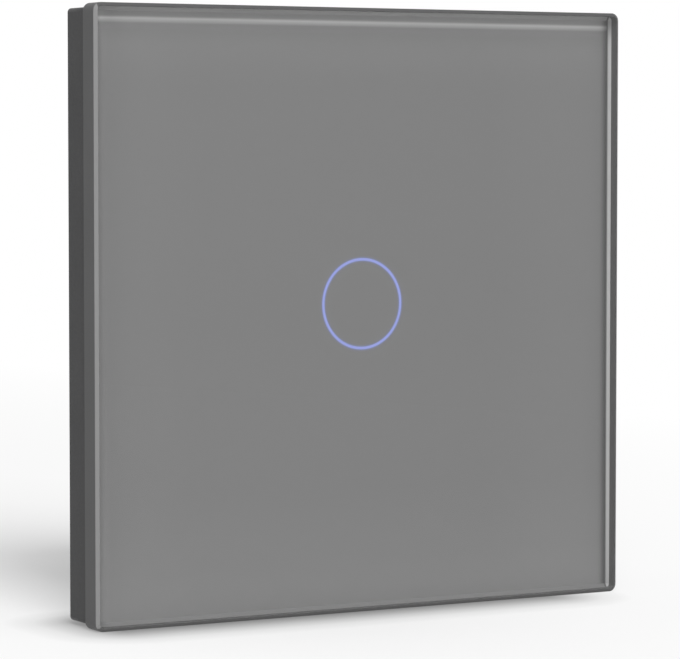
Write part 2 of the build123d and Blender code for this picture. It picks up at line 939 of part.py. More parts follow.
def terminal_tabs():
    """Brass tabs from the power board into the cages, one for each wire."""
    half = cage_half_width - cage_side_wall - tab_side_gap
    front = power_front - lead_tail
    tabs = []
    for x in terminal_places:
        tab = block(x - half, x + half, power_rear, cage_rear - tab_play, tab_bottom, tab_top)
        pin_half = tab_pin_width / 2
        tabs.append(tab + block(x - pin_half, x + pin_half, front, power_rear, tab_bottom, tab_top))
    return all_of(tabs)


def terminal_screw(x):
    """Clamp screw held by its head in the block."""
    screw = upright_rod(x, clamp_y, head_radius, head_bottom, web_bottom)
    screw += upright_rod(x, clamp_y, thread_radius, web_bottom, tab_bottom - tip_gap)
    slot_half = screw_slot_width / 2
    slot = block(
        x - head_radius - overrun,
        x + head_radius + overrun,
        clamp_y - slot_half,
        clamp_y + slot_half,
        head_bottom - overrun,
        head_bottom + screw_slot_depth,
    )
    return screw - slot


def terminal_cage(x):
    """Clamp cage, shown fully open, with the screw's hole in its floor."""
    front = cage_rear - cage_depth
    cage = block(x - cage_half_width, x + cage_half_width, front, cage_rear, cage_bottom, cage_top)
    inside = cage_half_width - cage_side_wall
    cage -= block(x - inside, x + inside, front - overrun, cage_rear + overrun, cage_inside, wire_top)
    hole = thread_radius + thread_clearance
    return cage - upright_rod(x, clamp_y, hole, cage_bottom - overrun, cage_inside + overrun)


pieces = {
    "front_glass": front_glass(),
    "back_print": back_print(),
    "glass_bead": glass_bead(),
    "panel_tray": panel_tray(),
    "ring_diffuser": ring_diffuser(),
    "carrier_tape": carrier_tape(),
    "panel_carrier": panel_carrier(),
    "base_plate": base_plate(),
    "support_bracket": support_bracket(),
    "frame_screws": frame_screws(),
    "rear_housing": rear_housing(),
    "module_cover": module_cover(),
    "light_guide": light_guide(),
    "touch_spring": touch_spring(),
    "blue_leds": leds(0),
    "red_leds": leds(90),
    "touch_board": touch_board(),
    "touch_ic": touch_ic(),
    "chip_parts": chip_parts(),
    "board_header": board_header(),
    "header_pins": header_pins(),
    "board_spacers": board_spacers(),
    "power_board": power_board(),
    "bridge_rectifier": bridge_rectifier(),
    "power_ic": power_ic(),
    "film_capacitor": film_capacitor(),
    "electrolytic_capacitor": electrolytic_capacitor(),
    "fuse": fuse(),
    "varistor": varistor(),
    "inductor_core": inductor_core(),
    "inductor_winding": inductor_winding(),
    "relay_case": relay_case(),
    "relay_base": relay_base(),
    "relay_pins": relay_pins(),
    "relay_yoke": relay_yoke(),
    "relay_core": relay_core(),
    "relay_bobbin": relay_bobbin(),
    "relay_winding": relay_winding(),
    "relay_armature": relay_armature(),
    "contact_spring": contact_spring(),
    "fixed_contact": fixed_contact(),
    "return_spring": return_spring(),
    "terminal_block": terminal_block(),
    "terminal_tabs": terminal_tabs(),
}
for number, place in enumerate(terminal_places, start=1):
    pieces[f"terminal_screw_{number}"] = terminal_screw(place)
    pieces[f"terminal_cage_{number}"] = terminal_cage(place)

os.makedirs("parts", exist_ok=True)
for name, shape in pieces.items():
    export_step(shape, f"parts/{name}.step")
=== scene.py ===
from math import pi, radians

import bmesh
import bpy
import numpy as np
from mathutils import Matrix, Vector


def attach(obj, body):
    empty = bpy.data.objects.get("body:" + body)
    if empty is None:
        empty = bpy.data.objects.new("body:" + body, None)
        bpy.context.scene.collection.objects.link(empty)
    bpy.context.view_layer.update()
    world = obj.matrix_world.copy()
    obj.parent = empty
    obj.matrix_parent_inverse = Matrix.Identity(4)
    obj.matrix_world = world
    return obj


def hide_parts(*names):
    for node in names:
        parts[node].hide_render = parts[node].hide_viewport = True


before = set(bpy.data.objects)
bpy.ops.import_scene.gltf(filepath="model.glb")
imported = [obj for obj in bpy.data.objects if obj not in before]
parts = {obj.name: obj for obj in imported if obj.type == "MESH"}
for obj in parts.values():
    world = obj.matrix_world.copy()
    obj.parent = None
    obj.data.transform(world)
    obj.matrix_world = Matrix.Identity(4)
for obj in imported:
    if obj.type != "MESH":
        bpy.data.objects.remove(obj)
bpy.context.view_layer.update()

mm = 0.001

# Camera and floor
# The switch stands on edge on a level pale sheet that fades into a white room. It is seen from
# the left and a little from above through a long lens.

eye_place = (-224.01 * mm, -392.39 * mm, 22.75 * mm)
eye_azimuth = 29.806
eye_dip = 3.248
eye_lens = 177.77
eye_near = 10 * mm
eye = bpy.data.objects.new("camera", bpy.data.cameras.new("camera"))
eye.location = eye_place
eye.rotation_euler = (radians(90 - eye_dip), 0, -radians(eye_azimuth))
eye.data.sensor_width = 36
eye.data.lens = eye_lens
eye.data.clip_start = eye_near
bpy.context.scene.collection.objects.link(eye)
bpy.context.scene.camera = eye
bpy.context.scene.view_settings.view_transform = "Standard"

floor_height = -40.0 * mm


def surface(name, grid, closed_round=False, closed_along=False, caps=False):
    """A mesh from an array of points [row, place]: neighbours in both directions are joined
    by four-sided faces, the last place to the first where the rows are rings, the last row
    to the first where the profile closes, and with caps each end row is one flat face."""
    rows, places, _ = grid.shape
    number = np.arange(rows * places).reshape(rows, places)
    if closed_round:
        number = np.hstack([number, number[:, :1]])
    if closed_along:
        number = np.vstack([number, number[:1]])
    faces = np.stack([number[:-1, :-1], number[:-1, 1:], number[1:, 1:], number[1:, :-1]], axis=-1)
    faces = faces.reshape(-1, 4).tolist()
    if caps:
        faces += [number[0, :places][::-1].tolist(), number[-1, :places].tolist()]
    mesh = bpy.data.meshes.new(name)
    mesh.from_pydata(grid.reshape(-1, 3).tolist(), [], faces)
    mesh.update()
    piece = bpy.data.objects.new(name, mesh)
    bpy.context.scene.collection.objects.link(piece)
    return piece


def floor_sheet(reach=4.0, count=9):
    """A level sheet under the switch: equal steps along X and Y at the height of its lower edge."""
    x, y = np.meshgrid(np.linspace(-reach, reach, count), np.linspace(reach, -reach, count))
    return surface("floor_sheet", np.stack([x, y, np.full(x.shape, floor_height)], axis=-1))


def tree_of(name):
    """A new material with its node tree, its shader and a source of Object coordinates."""
    finish = bpy.data.materials.new(name)
    finish.use_nodes = True
    tree = finish.node_tree
    place = tree.nodes.new("ShaderNodeTexCoord").outputs["Object"]
    return finish, tree, tree.nodes["Principled BSDF"], place


def both(tree, first, second):
    """A mask that is 1 where both masks are: their product."""
    product = tree.nodes.new("ShaderNodeMath")
    product.operation = "MULTIPLY"
    tree.links.new(first, product.inputs[0])
    tree.links.new(second, product.inputs[1])
    return product.outputs[0]


def any_of(tree, first, *others):
    """A mask that is 1 where any of the masks is: the largest of them."""
    for other in others:
        larger = tree.nodes.new("ShaderNodeMath")
        larger.operation = "MAXIMUM"
        tree.links.new(first, larger.inputs[0])
        tree.links.new(other, larger.inputs[1])
        first = larger.outputs[0]
    return first


def vector_step(tree, operation, first, second=None):
    """What one operation makes of a vector and, where it takes two, a fixed second vector."""
    step = tree.nodes.new("ShaderNodeVectorMath")
    step.operation = operation
    tree.links.new(first, step.inputs[0])
    if second is not None:
        step.inputs[1].default_value = second
    return step.outputs["Value" if operation in ("LENGTH", "DISTANCE") else "Vector"]


def shade_by(tree, value, start, end, stops):
    """A brightness from a row of (place, level) stops between two values."""
    share = tree.nodes.new("ShaderNodeMapRange")
    share.inputs["From Min"].default_value = start
    share.inputs["From Max"].default_value = end
    tree.links.new(value, share.inputs["Value"])
    ramp = tree.nodes.new("ShaderNodeValToRGB")
    band = ramp.color_ramp
    while len(band.elements) < len(stops):
        band.elements.new(1.0)
    for element, (spot, level) in zip(band.elements, stops):
        element.position = (spot - start) / (end - start)
        element.color = (level, level, level, 1)
    tree.links.new(share.outputs["Result"], ramp.inputs["Fac"])
    return ramp.outputs["Color"]


def floor_paper_with_painted_shadow():
    """Pale paper that keeps the shadow, carries a painted contact shadow that is darkest where the
    switch touches it, and fades into the white room farther off. The painted shadow is by the
    distance from the edge of the foot: the length of max(|place - foot_middle| - foot_half, 0) in
    the level plane, and it darkens the paper and its white glow for camera rays only. The fade is
    by the distance from fade_middle, with the depth of the room shortened by fade_shares."""
    paper, tree, shader, place = tree_of("floor_paper_with_painted_shadow")
    past = vector_step(tree, "ABSOLUTE", vector_step(tree, "SUBTRACT", place, foot_middle))
    past = vector_step(tree, "MAXIMUM", vector_step(tree, "SUBTRACT", past, foot_half), (0, 0, 0))
    past = vector_step(tree, "LENGTH", vector_step(tree, "MULTIPLY", past, (1, 1, 0)))
    aside = vector_step(tree, "MULTIPLY", vector_step(tree, "SUBTRACT", place, fade_middle), fade_shares)
    fade = shade_by(tree, vector_step(tree, "LENGTH", aside), 0, fade_reach, fade_stops)
    ray = tree.nodes.new("ShaderNodeLightPath").outputs
    level = tree.nodes.new("ShaderNodeMix")
    level.data_type = "RGBA"
    level.inputs["A"].default_value = (1, 1, 1, 1)
    tree.links.new(ray["Is Camera Ray"], level.inputs["Factor"])
    tree.links.new(shade_by(tree, past, 0, painted_contact_shadow_reach, painted_contact_shadow_stops), level.inputs["B"])
    tone = tree.nodes.new("ShaderNodeVectorMath")
    tone.operation = "SCALE"
    tone.inputs["Scale"].default_value = floor_tone
    tree.links.new(level.outputs["Result"], tone.inputs[0])
    tree.links.new(tone.outputs[0], shader.inputs["Base Color"])
    shader.inputs["Roughness"].default_value = floor_rough
    shader.inputs["Specular IOR Level"].default_value = 0.0
    white = tree.nodes.new("ShaderNodeEmission")
    tree.links.new(level.outputs["Result"], white.inputs["Color"])
    seen = any_of(tree, ray["Is Camera Ray"], ray["Is Glossy Ray"], ray["Is Transmission Ray"])
    mix = tree.nodes.new("ShaderNodeMixShader")
    tree.links.new(both(tree, fade, seen), mix.inputs["Fac"])
    tree.links.new(shader.outputs[0], mix.inputs[1])
    tree.links.new(white.outputs[0], mix.inputs[2])
    tree.links.new(mix.outputs[0], tree.nodes["Material Output"].inputs["Surface"])
    return paper


floor_tone = 0.9
floor_rough = 0.9
foot_middle = (-4 * mm, -4.5 * mm, 0)
foot_half = (32 * mm, 4.5 * mm, 0)
# Painted contact shadow on the paper: its reach and its levels by the distance from the foot.
painted_contact_shadow_reach = 16 * mm
painted_contact_shadow_stops = [(at * mm, level) for at, level in (
    (0, 0.33), (1, 0.38), (3, 0.52), (5, 0.68), (8, 0.88), (12, 1.0),
)]
fade_middle = (-10 * mm, 45 * mm, 0)
fade_shares = (1, 0.4, 0)
fade_reach = 240 * mm
fade_stops = [(at * mm, share) for at, share in (
    (10, 0.12), (30, 0.5), (45, 0.68), (70, 0.8), (240, 1.0),
)]
sheet = floor_sheet()
sheet.data.materials.append(floor_paper_with_painted_shadow())

# Light
# An even pale room that is white where it is seen, and one broad lamp from above and in front
# that lays a soft shadow behind the switch.


def room(strength):
    """A world that lights evenly by its strength and looks white to the camera, through glass
    and in reflections."""
    world = bpy.data.worlds.new("room")
    world.use_nodes = True
    sky = world.node_tree
    even = sky.nodes["Background"]
    even.inputs["Color"].default_value = (1, 1, 1, 1)
    even.inputs["Strength"].default_value = strength
    seen = sky.nodes.new("ShaderNodeBackground")
    seen.inputs["Color"].default_value = (1, 1, 1, 1)
    ray = sky.nodes.new("ShaderNodeLightPath").outputs
    which = sky.nodes.new("ShaderNodeMixShader")
    looks = any_of(sky, ray["Is Camera Ray"], ray["Is Transmission Ray"], ray["Is Glossy Ray"])
    sky.links.new(looks, which.inputs["Fac"])
    sky.links.new(even.outputs[0], which.inputs[1])
    sky.links.new(seen.outputs[0], which.inputs[2])
    sky.links.new(which.outputs[0], sky.nodes["World Output"].inputs["Surface"])
    return world


room_light = 0.45
bpy.context.scene.world = room(room_light)


def lamp(name, spot, rotation, size, watts):
    """A square area lamp at a place, with its rotation."""
    light = bpy.data.lights.new(name, "AREA")
    light.size = size
    light.energy = watts
    holder = bpy.data.objects.new(name, light)
    holder.location = spot
    holder.rotation_euler = rotation
    bpy.context.scene.collection.objects.link(holder)


def facing(spot):
    """The rotation that turns a lamp at a place towards the middle of the switch."""
    return (-Vector(spot)).to_track_quat("-Z", "Y").to_euler()


key_spot = (-250 * mm, -750 * mm, 720 * mm)
key_size = 550 * mm
key_watts = 9.3
lamp("key", key_spot, facing(key_spot), key_size, key_watts)

# Rear housing
# Deep case of the relay module, moulded in dark grey self-extinguishing plastic with cut corners.
# It carries the boards and is clamped by its flange between base plate and bracket.


def blend_of(tree, low, high, driver):
    """A colour that runs from low to high as the driver goes from 0 to 1."""
    mix = tree.nodes.new("ShaderNodeMix")
    mix.data_type = "RGBA"
    mix.inputs["A"].default_value = (*low, 1)
    mix.inputs["B"].default_value = (*high, 1)
    tree.links.new(driver, mix.inputs["Factor"])
    return mix.outputs["Result"]


def noise_of(tree, place, size, detail=3, stretch=(1, 1, 1)):
    """Soft cloud pattern whose lumps measure about size, stretched along the axes."""
    mapping = tree.nodes.new("ShaderNodeMapping")
    mapping.inputs["Scale"].default_value = tuple(1 / (size * s) for s in stretch)
    tree.links.new(place, mapping.inputs["Vector"])
    noise = tree.nodes.new("ShaderNodeTexNoise")
    noise.inputs["Scale"].default_value = 1
    noise.inputs["Detail"].default_value = detail
    tree.links.new(mapping.outputs[0], noise.inputs["Vector"])
    return noise.outputs["Fac"]


def spread_of(tree, driver, low, high):
    """A plain number that runs from low to high as the driver goes from 0.3 to 0.7."""
    ramp = tree.nodes.new("ShaderNodeMapRange")
    ramp.inputs["From Min"].default_value = 0.3
    ramp.inputs["From Max"].default_value = 0.7
    ramp.inputs["To Min"].default_value = low
    ramp.inputs["To Max"].default_value = high
    tree.links.new(driver, ramp.inputs["Value"])
    return ramp.outputs["Result"]


def relief(tree, shader, height, depth):
    """Raises the surface by a pattern, depth being the height of its hills."""
    bump = tree.nodes.new("ShaderNodeBump")
    bump.inputs["Distance"].default_value = depth
    bump.inputs["Strength"].default_value = 1.0
    tree.links.new(height, bump.inputs["Height"])
    tree.links.new(bump.outputs[0], shader.inputs["Normal"])


def moulded(name, colour, rough=0.5, grain=0.25 * mm, deep=0.006 * mm, drift=0.12, sheen_level=0.5):
    """Moulded plastic: fine spark grain in relief and gloss, slow flow marks in the colour."""
    flow_size = 9 * mm
    gloss_swing = 0.07
    finish, tree, shader, place = tree_of(name)
    flow = noise_of(tree, place, flow_size, 2)
    fine = noise_of(tree, place, grain, 4)
    low = tuple(c * (1 - drift) for c in colour)
    high = tuple(min(1, c * (1 + drift)) for c in colour)
    tree.links.new(blend_of(tree, low, high, spread_of(tree, flow, 0, 1)), shader.inputs["Base Color"])
    dull = spread_of(tree, fine, rough - gloss_swing, rough + gloss_swing)
    tree.links.new(dull, shader.inputs["Roughness"])
    shader.inputs["Specular IOR Level"].default_value = sheen_level
    relief(tree, shader, fine, deep)
    return finish


def plated(name, colour, rough=0.3, along=(1, 1, 1), grain=0.4 * mm, deep=0.002 * mm, drift=0.1):
    """Plated or bare metal: faint rolling streaks along one axis in gloss and relief, and clouds
    in the colour."""
    cloud_size = 6 * mm
    brighter = 0.08
    duller = 0.1
    finish, tree, shader, place = tree_of(name)
    streak = noise_of(tree, place, grain, 5, along)
    cloud = noise_of(tree, place, cloud_size, 3)
    low = tuple(c * (1 - drift) for c in colour)
    high = tuple(min(1, c * (1 + drift)) for c in colour)
    tree.links.new(blend_of(tree, low, high, spread_of(tree, cloud, 0, 1)), shader.inputs["Base Color"])
    tree.links.new(spread_of(tree, streak, rough - brighter, rough + duller), shader.inputs["Roughness"])
    shader.inputs["Metallic"].default_value = 1
    relief(tree, shader, streak, deep)
    return finish


def dress(node, finish):
    """Gives a solid its finish."""
    parts[node].data.materials.clear()
    parts[node].data.materials.append(finish)
    return parts[node]


def soften(node, finish, radius):
    """Gives a solid its finish and breaks its sharp edges by a small radius: the triangles of
    each flat face become one face again, edges that turn by more than sharp degrees are
    bevelled, and the shading of the large faces stays flat."""
    same_place = 0.001 * mm
    flat = 0.5
    sharp = 40
    flatness = 50
    solid = dress(node, finish)
    join = solid.modifiers.new("join", "WELD")
    join.merge_threshold = same_place
    whole = solid.modifiers.new("whole", "DECIMATE")
    whole.decimate_type = "DISSOLVE"
    whole.angle_limit = radians(flat)
    edge = solid.modifiers.new("edge", "BEVEL")
    edge.width = radius
    edge.segments = 2
    edge.limit_method = "ANGLE"
    edge.angle_limit = radians(sharp)
    solid.modifiers.new("even", "WEIGHTED_NORMAL").weight = flatness


housing_grey = moulded("housing_grain", (0.034, 0.035, 0.037), 0.46, 0.35 * mm, 0.012 * mm)
soften("rear_housing", housing_grey, 0.15 * mm)

# Relay
# Small power relay: nickel-plated iron yoke, core and armature, bronze leaf with silver contacts,
# a coil of enamelled wire on a black former, all closed by a blue cap.


def where(tree, place, axis, level, above=True, soft=0.02 * mm):
    """A mask that is 1 on one side of a level along X, Y or Z, and 0 on the other."""
    split = tree.nodes.new("ShaderNodeSeparateXYZ")
    tree.links.new(place, split.inputs[0])
    step = tree.nodes.new("ShaderNodeMapRange")
    low, high = (level - soft, level + soft) if above else (level + soft, level - soft)
    step.inputs["From Min"].default_value = low
    step.inputs["From Max"].default_value = high
    tree.links.new(split.outputs[axis], step.inputs["Value"])
    return step.outputs["Result"]


def over(finish, mask_at, colour, rough, metal=1.0):
    """Lays a second finish over the first where the mask is 1, such as tinned leads on a body."""
    tree = finish.node_tree
    shader = tree.nodes["Principled BSDF"]
    place = tree.nodes["Texture Coordinate"].outputs["Object"]
    mask = mask_at(tree, place)
    coat = tree.nodes.new("ShaderNodeMix")
    coat.data_type = "RGBA"
    tree.links.new(mask, coat.inputs["Factor"])
    tree.links.new(shader.inputs["Base Color"].links[0].from_socket, coat.inputs["A"])
    coat.inputs["B"].default_value = (*colour, 1)
    tree.links.new(coat.outputs["Result"], shader.inputs["Base Color"])
    dull = tree.nodes.new("ShaderNodeMix")
    tree.links.new(mask, dull.inputs["Factor"])
    tree.links.new(shader.inputs["Roughness"].links[0].from_socket, dull.inputs["A"])
    dull.inputs["B"].default_value = rough
    tree.links.new(dull.outputs["Result"], shader.inputs["Roughness"])
    shine = tree.nodes.new("ShaderNodeMapRange")
    shine.inputs["To Min"].default_value = shader.inputs["Metallic"].default_value
    shine.inputs["To Max"].default_value = metal
    tree.links.new(mask, shine.inputs["Value"])
    tree.links.new(shine.outputs["Result"], shader.inputs["Metallic"])
    return finish


def outward(piece):
    """Turns every face of a closed mesh outwards."""
    work = bmesh.new()
    work.from_mesh(piece.data)
    bmesh.ops.recalc_face_normals(work, faces=work.faces)
    work.to_mesh(piece.data)
    work.free()
    return piece


def rounded_shade(piece):
    """Smooth shading over the piece, for wound forms."""
    piece.data.polygons.foreach_set("use_smooth", np.ones(len(piece.data.polygons), bool))
    return piece


def wound(name, centre, bore, outside, front, rear, turns, steps=72):
    """Close winding round an axis along Y: the radius falls by a half circle's sag between
    turns, and the crest climbs one turn for each time round, so the wire is one helix."""
    rows_a_turn = 8
    wire_radius = (rear - front) / turns / 2
    y = np.linspace(front, rear, rows_a_turn * turns + 1)[:, None]
    turn = (np.arange(steps) * 2 * pi / steps)[None, :]
    phase = (y - front) / (2 * wire_radius) - turn / (2 * pi)
    offset = (phase - np.floor(phase) - 0.5) * 2
    radius = outside - wire_radius + wire_radius * np.sqrt(np.clip(1 - offset**2, 0, 1))
    inner = np.full((1, steps), bore)
    radius = np.vstack([inner, radius, inner])
    y = np.vstack([[[front]], y, [[rear]]])
    grid = np.stack([
        centre[0] + radius * np.cos(turn),
        np.broadcast_to(y, radius.shape),
        centre[1] + radius * np.sin(turn),
    ], axis=-1)
    return rounded_shade(outward(surface(name, grid, closed_round=True, closed_along=True)))


relay_black = moulded("relay_black", (0.03, 0.03, 0.031), 0.4, 0.3 * mm, 0.004 * mm)
for node in ("relay_base", "relay_bobbin"):
    dress(node, relay_black)
iron = plated("nickelled_iron", (0.56, 0.55, 0.53), 0.3, (4, 1, 1), 0.3 * mm)
for node in ("relay_yoke", "relay_core", "relay_armature"):
    dress(node, iron)
contact_start = 4.6 * mm
silver = (0.8, 0.79, 0.76)
bronze = plated("contact_bronze", (0.72, 0.48, 0.24), 0.27, (6, 1, 1), 0.25 * mm)
over(bronze, lambda tree, place: where(tree, place, 0, contact_start), silver, 0.25)
for node in ("contact_spring", "fixed_contact"):
    dress(node, bronze)
dress("return_spring", plated("spring_strip", (0.6, 0.6, 0.58), 0.25, (1, 5, 1), 0.25 * mm))
tinned = plated("tinned_brass", (0.74, 0.7, 0.58), 0.34, (1, 4, 1), 0.2 * mm)
dress("relay_pins", tinned)

core_axis = (-2.4 * mm, 11.7 * mm)
enamel = plated("enamelled_copper", (0.66, 0.26, 0.09), 0.3, (1, 1, 1), 0.15 * mm, 0.001 * mm, 0.2)
enamel_gloss = 0.6
enamel.node_tree.nodes["Principled BSDF"].inputs["Coat Weight"].default_value = enamel_gloss
coil_bore = 2.4 * mm
coil_outside = 4.1 * mm
coil_front = 11.2 * mm
coil_rear = 18.0 * mm
coil_turns = 34
coil = wound("coil_winding", core_axis, coil_bore, coil_outside, coil_front, coil_rear, coil_turns)
coil.data.materials.append(enamel)
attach(coil, "switch_body")
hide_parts("relay_winding")

cap_blue = moulded("cap_blue", (0.02, 0.075, 0.26), 0.3, 0.5 * mm, 0.002 * mm, 0.08)
soften("relay_case", cap_blue, 0.12 * mm)

# Power board and its parts
# Green lacquered glass-fibre board; the boxed, canned and coated parts stand on its rear face,
# with their tinned leads through it, and two resin packages are soldered to its front.


def lacquered(name, colour, pitch=1.27 * mm, patch=6.5 * mm):
    """Board lacquer: lighter over the copper, with the glass weave in the relief. The board is
    cut into square patches. Each holds tracks along X or along Z, poured copper or bare
    laminate. A track is where the place modulo the pitch lies in the first part of the pitch."""
    track_share = 0.45
    poured_above = 0.75
    bare_below = 0.2
    weave_share = 0.2
    copper_height = 0.02 * mm
    copper_gain = 1.8
    along_x_above = 0.5
    weave_size = 0.35 * mm
    weave_stretch = (3, 1, 0.4)
    finish, tree, shader, place = tree_of(name)
    split = tree.nodes.new("ShaderNodeSeparateXYZ")
    tree.links.new(place, split.inputs[0])

    def step(operation, *sources):
        """One operation on numbers and on the outcomes of other steps."""
        node = tree.nodes.new("ShaderNodeMath")
        node.operation = operation
        for socket, source in zip(node.inputs, sources):
            if isinstance(source, (int, float)):
                socket.default_value = source
            else:
                tree.links.new(source, socket)
        return node.outputs[0]

    def stripes(axis):
        """1 on the tracks that follow each other along an axis, 0 between them."""
        along = step("FLOORED_MODULO", split.outputs[axis], pitch)
        return step("LESS_THAN", along, track_share * pitch)

    cells = tree.nodes.new("ShaderNodeTexVoronoi")
    cells.distance = "CHEBYCHEV"
    cells.inputs["Scale"].default_value = 1 / patch
    tree.links.new(place, cells.inputs["Vector"])
    chance = tree.nodes.new("ShaderNodeSeparateXYZ")
    tree.links.new(cells.outputs["Color"], chance.inputs[0])
    along_x = step("GREATER_THAN", chance.outputs[0], along_x_above)
    rows = step("MULTIPLY", stripes(2), along_x)
    columns = step("MULTIPLY", stripes(0), step("SUBTRACT", 1, along_x))
    poured = step("GREATER_THAN", chance.outputs[1], poured_above)
    covered = step("MAXIMUM", step("ADD", rows, columns), poured)
    copper = step("MULTIPLY", covered, step("GREATER_THAN", chance.outputs[2], bare_below))
    light = tuple(min(1, c * copper_gain) for c in colour)
    tree.links.new(blend_of(tree, colour, light, copper), shader.inputs["Base Color"])
    weave = noise_of(tree, place, weave_size, 1, weave_stretch)
    tree.links.new(spread_of(tree, weave, 0.22, 0.34), shader.inputs["Roughness"])
    relief(tree, shader, step("MULTIPLY_ADD", weave, weave_share, copper), copper_height)
    return finish


lacquer = lacquered("green_lacquer", (0.012, 0.1, 0.035))
dress("power_board", lacquer)
board_rear = 8.0 * mm
lead_tin = (0.72, 0.71, 0.68)


def leaded(finish):
    """Tinned leads below a body that stands on the power board."""
    return over(finish, lambda tree, place: where(tree, place, 1, board_rear, False), lead_tin, 0.3)


film_yellow = leaded(moulded("film_case_yellow", (0.62, 0.44, 0.05), 0.32, 0.6 * mm, 0.003 * mm, 0.06))
soften("film_capacitor", film_yellow, 0.15 * mm)

can_top = 19.96 * mm
can_stripe = 18.9 * mm
aluminium = (0.7, 0.71, 0.72)
stripe_grey = (0.62, 0.64, 0.66)
sleeve = leaded(moulded("can_sleeve", (0.02, 0.03, 0.075), 0.25, 0.8 * mm, 0.003 * mm))
over(sleeve, lambda tree, place: where(tree, place, 1, can_top), aluminium, 0.32)
over(sleeve, lambda tree, place: where(tree, place, 0, can_stripe), stripe_grey, 0.3, 0.0)
dress("electrolytic_capacitor", sleeve)

dress("fuse", leaded(moulded("fuse_case", (0.045, 0.045, 0.045), 0.42, 0.3 * mm)))
blue_coat = leaded(moulded("varistor_coat", (0.03, 0.12, 0.42), 0.36, 0.9 * mm, 0.03 * mm, 0.15))
soften("varistor", blue_coat, 0.7 * mm)
ferrite = leaded(moulded("ferrite", (0.05, 0.05, 0.052), 0.62, 0.12 * mm, 0.006 * mm, 0.2))
dress("inductor_core", ferrite)

drum_axis = (17.6 * mm, -5.4 * mm)
drum_bore = 1.4 * mm
drum_outside = 2.8 * mm
drum_front = 9.0 * mm
drum_rear = 15.0 * mm
drum_turns = 20
choke = wound("choke_winding", drum_axis, drum_bore, drum_outside, drum_front, drum_rear, drum_turns)
choke.data.materials.append(enamel)
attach(choke, "switch_body")
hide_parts("inductor_winding")


def tin_ends(finish, middle, half, rough):
    """Tin on both ends of a small part along Z, beyond half its bare length from its middle."""
    over(finish, lambda tree, place: where(tree, place, 2, middle + half), lead_tin, rough)
    over(finish, lambda tree, place: where(tree, place, 2, middle - half, False), lead_tin, rough)


def package(node, middle, half=1.99 * mm):
    """Black resin body with tinned leads on its upper and lower side."""
    finish = moulded(node + "_resin", (0.022, 0.022, 0.023), 0.5, 0.12 * mm, 0.004 * mm)
    tin_ends(finish, middle, half, rough=0.3)
    dress(node, finish)


package("bridge_rectifier", middle=-7.5 * mm)
package("power_ic", middle=11.0 * mm)

# Terminals
# Green moulded block with three cage clamps: brass tabs from the board, yellow-passivated steel
# cages, and plated slotted screws that are turned from below and draw the cages down.

block_green = moulded("block_green", (0.06, 0.27, 0.11), 0.42, 0.4 * mm, 0.008 * mm, 0.06)
soften("terminal_block", block_green, 0.15 * mm)
dress("terminal_tabs", tinned)
passivated = plated("passivated_steel", (0.66, 0.6, 0.42), 0.32, (1, 4, 1), 0.25 * mm, 0.002 * mm, 0.16)


def threaded(pitch, head_top):
    """Plated screw steel: a thread in the relief along the shank, a plain head below head_top.
    The wave texture has 20 / (2 pi) bands for each unit of its scaled place."""
    thread_height = 0.15 * mm
    finish = plated("screw_steel", (0.62, 0.62, 0.6), 0.26, (1, 1, 1), 0.2 * mm)
    tree = finish.node_tree
    place = tree.nodes["Texture Coordinate"].outputs["Object"]
    shader = tree.nodes["Principled BSDF"]
    thread = tree.nodes.new("ShaderNodeTexWave")
    thread.bands_direction = "Z"
    thread.wave_profile = "TRI"
    thread.inputs["Scale"].default_value = 2 * pi / 20 / pitch
    tree.links.new(place, thread.inputs["Vector"])
    ridge = both(tree, thread.outputs["Fac"], where(tree, place, 2, head_top))
    relief(tree, shader, ridge, thread_height)
    return finish


thread_pitch = 0.5 * mm
head_height = -18.4 * mm
thread_steel = threaded(thread_pitch, head_height)
for number in (1, 2, 3):
    soften(f"terminal_screw_{number}", thread_steel, 0.12 * mm)
    soften(f"terminal_cage_{number}", passivated, 0.1 * mm)

# Touch board
# Second lacquered board behind the cover, held off the first by four nylon pillars. It carries
# the sensing circuit, chip parts and, on its front, two blue and two red indicator lights.

dress("touch_board", lacquer)
package("touch_ic", middle=-9.0 * mm)
chips = moulded("chip_ceramic", (0.16, 0.1, 0.06), 0.5, 0.15 * mm)
tin_ends(chips, middle=-10.0 * mm, half=0.65 * mm, rough=0.35)
dress("chip_parts", chips)
dress("board_header", relay_black)
dress("header_pins", plated("header_gold", (0.8, 0.62, 0.28), 0.25, (1, 4, 1), 0.2 * mm))
dress("board_spacers", moulded("natural_nylon", (0.72, 0.71, 0.66), 0.45, 0.5 * mm, 0.004 * mm, 0.05))


def lit_resin(name, colour, strength):
    """Milky light-emitting package: pale resin, tinted by its light, that glows from inside."""
    pale = 0.55
    tint = 0.4
    finish = moulded(name, tuple(pale + tint * c for c in colour), 0.3, 0.2 * mm)
    shader = finish.node_tree.nodes["Principled BSDF"]
    shader.inputs["Emission Color"].default_value = (*colour, 1)
    shader.inputs["Emission Strength"].default_value = strength
    return finish


dress("blue_leds", lit_resin("blue_light", (0.15, 0.25, 1.0), 1.5))
dress("red_leds", lit_resin("red_light", (0.8, 0.1, 0.08), 0.0))

# Light guide and touch spring
# Clear moulded tube that leads the lights to the ring; inside it a tinned wire spring presses
# on the panel and senses the finger through the glass.

ring_middle = (0.0, 0.9 * mm)
guide = moulded("guide_clear", (0.9, 0.93, 0.97), 0.12, 0.8 * mm, 0.002 * mm, 0.02)
guide_clearness = 0.75
guide_bending = 1.49
guide_shader = guide.node_tree.nodes["Principled BSDF"]
guide_shader.inputs["Transmission Weight"].default_value = guide_clearness
guide_shader.inputs["IOR"].default_value = guide_bending
dress("light_guide", guide)


